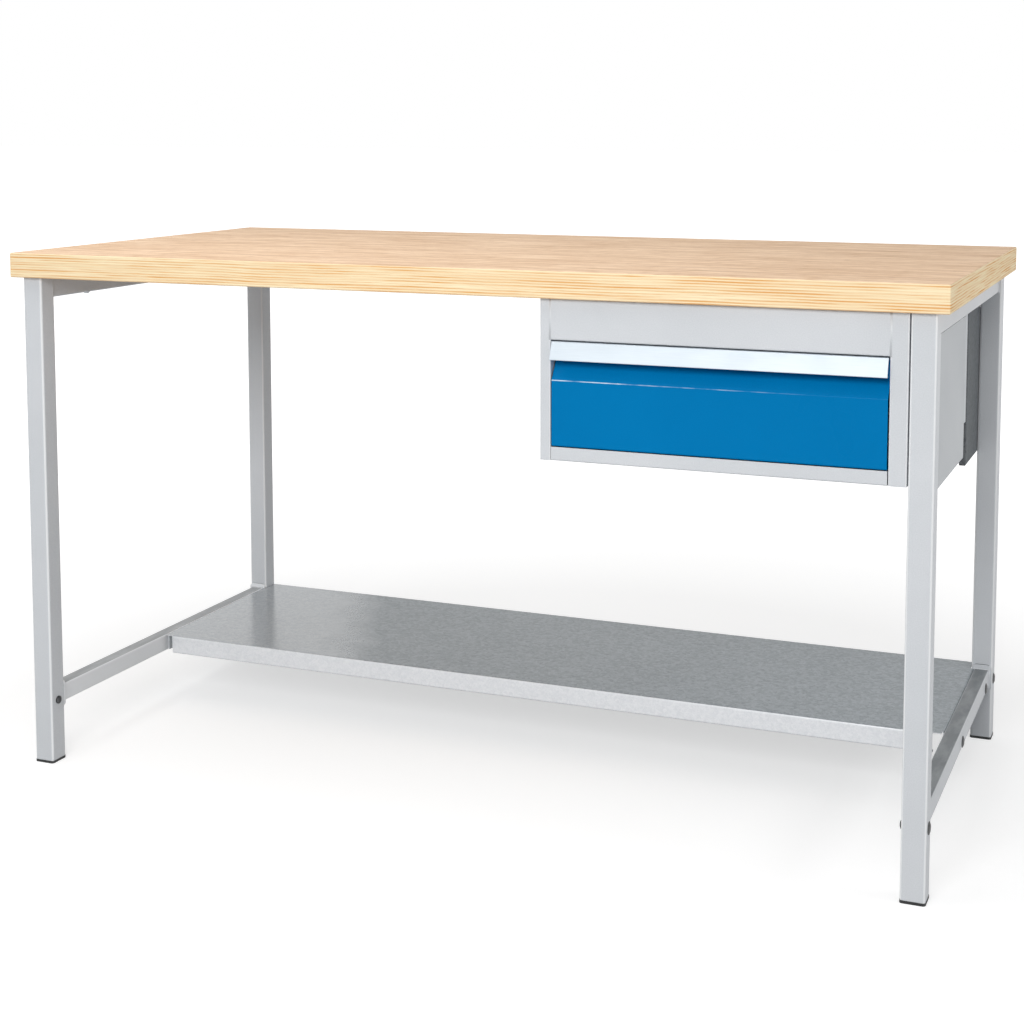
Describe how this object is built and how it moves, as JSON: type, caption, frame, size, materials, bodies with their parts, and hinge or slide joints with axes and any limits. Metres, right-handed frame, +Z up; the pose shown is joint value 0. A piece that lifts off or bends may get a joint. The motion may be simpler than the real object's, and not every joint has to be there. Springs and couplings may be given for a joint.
{
  "type": "workbench with drawer",
  "caption": "Steel-framed workshop bench with a thick plywood top, a half-depth lower shelf and a drawer under the top at the right.",
  "frame": {"origin": "middle of the bench's footprint, on the floor", "axes": "+X to the bench's right (the drawer's side), +Y to its back, +Z up"},
  "size_m": [1.5, 0.75, 0.85],
  "materials": {
    "worktop_ply": "oiled beech plywood, flat grain on top, ply layers on the edges",
    "frame_grey": "light grey powder coat, satin",
    "shelf_sheet": "grey galvanised sheet with a soft sheen",
    "drawer_blue": "mid blue powder coat, satin",
    "handle_aluminium": "silver anodised, satin",
    "slide_zinc": "bright zinc plate",
    "screw_zinc": "zinc plate",
    "bolt_black": "black oxide",
    "cap_black": "black moulded plastic"
  },
  "bodies": {
    "frame": {"worktop": "worktop_ply", "leg_front_left": "frame_grey", "leg_front_right": "frame_grey", "leg_back_left": "frame_grey", "leg_back_right": "frame_grey", "foot_caps": "cap_black", "rail_upper_left": "frame_grey", "rail_upper_right": "frame_grey", "rail_lower_left": "frame_grey", "rail_lower_right": "frame_grey", "rail_back": "frame_grey", "shelf": "shelf_sheet", "end_panel": "frame_grey", "end_panel_back": "shelf_sheet", "housing_left": "frame_grey", "housing_right": "frame_grey", "housing_fascia": "frame_grey", "housing_floor": "frame_grey", "housing_back": "frame_grey", "slide_bracket_left": "slide_zinc", "slide_bracket_right": "slide_zinc", "slide_fixed_left": "slide_zinc", "slide_fixed_right": "slide_zinc", "frame_bolts": "bolt_black", "frame_nuts": "bolt_black", "shelf_bolts": "bolt_black", "shelf_nuts": "screw_zinc", "back_rail_bolts": "screw_zinc", "back_rail_nuts": "screw_zinc", "rail_screws": "screw_zinc", "back_rail_screws": "screw_zinc", "housing_screws": "screw_zinc", "panel_screws": "screw_zinc"},
    "drawer": {"drawer_tray": "frame_grey", "drawer_wall_front": "frame_grey", "drawer_wall_back": "frame_grey", "drawer_front": "drawer_blue", "drawer_handle": "handle_aluminium", "front_rivets": "screw_zinc", "handle_rivets": "screw_zinc", "slide_screws": "screw_zinc", "slide_drawer_left": "slide_zinc", "slide_drawer_right": "slide_zinc"},
    "slide_stage_left": {"slide_middle_left": "slide_zinc"},
    "slide_stage_right": {"slide_middle_right": "slide_zinc"}
  },
  "joints": [
    {"name": "drawer_slide", "type": "slide", "parent": "frame", "child": "drawer", "axis": [0, -1, 0], "range_m": [0, 0.45]},
    {"name": "slide_stage_left_slide", "type": "slide", "parent": "frame", "child": "slide_stage_left", "axis": [0, -1, 0], "range_m": [0, 0.225]},
    {"name": "slide_stage_right_slide", "type": "slide", "parent": "frame", "child": "slide_stage_right", "axis": [0, -1, 0], "range_m": [0, 0.225]}
  ],
  "couplings": [
    {"joint": "slide_stage_left_slide", "follows": "drawer_slide", "ratio": 0.5},
    {"joint": "slide_stage_right_slide", "follows": "drawer_slide", "ratio": 0.5}
  ]
}
